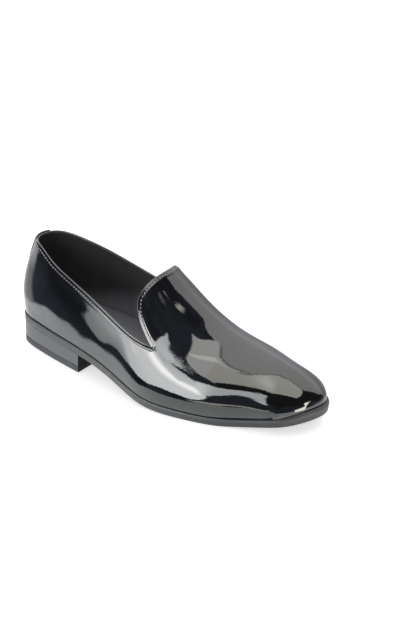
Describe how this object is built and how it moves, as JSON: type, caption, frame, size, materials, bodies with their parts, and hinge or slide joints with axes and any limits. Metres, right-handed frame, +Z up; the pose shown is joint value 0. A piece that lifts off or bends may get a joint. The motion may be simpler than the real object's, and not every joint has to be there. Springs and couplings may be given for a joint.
{
  "type": "slip-on shoe",
  "caption": "Right-foot slip-on dress shoe with a hollow patent leather upper, rounded tongue, thin welted sole with toe spring, and a low stacked heel.",
  "frame": {"origin": "middle of the shoe's length and width, on the floor", "axes": "+X towards the toe, +Y towards the inner side of the right foot, +Z up"},
  "size_m": [0.3014, 0.1057, 0.0995],
  "materials": {
    "patent_leather": "black patent, mirror gloss",
    "sole_edge": "matt black, dressed edge",
    "heel_finish": "dark grey, satin",
    "lift_rubber": "matt black",
    "sock_lining": "matt black lining"
  },
  "bodies": {
    "root": {"upper": "patent_leather", "heel_tab": "patent_leather", "outsole": "sole_edge", "heel_block": "heel_finish", "top_lift": "lift_rubber", "insole": "sock_lining"}
  },
  "joints": []
}
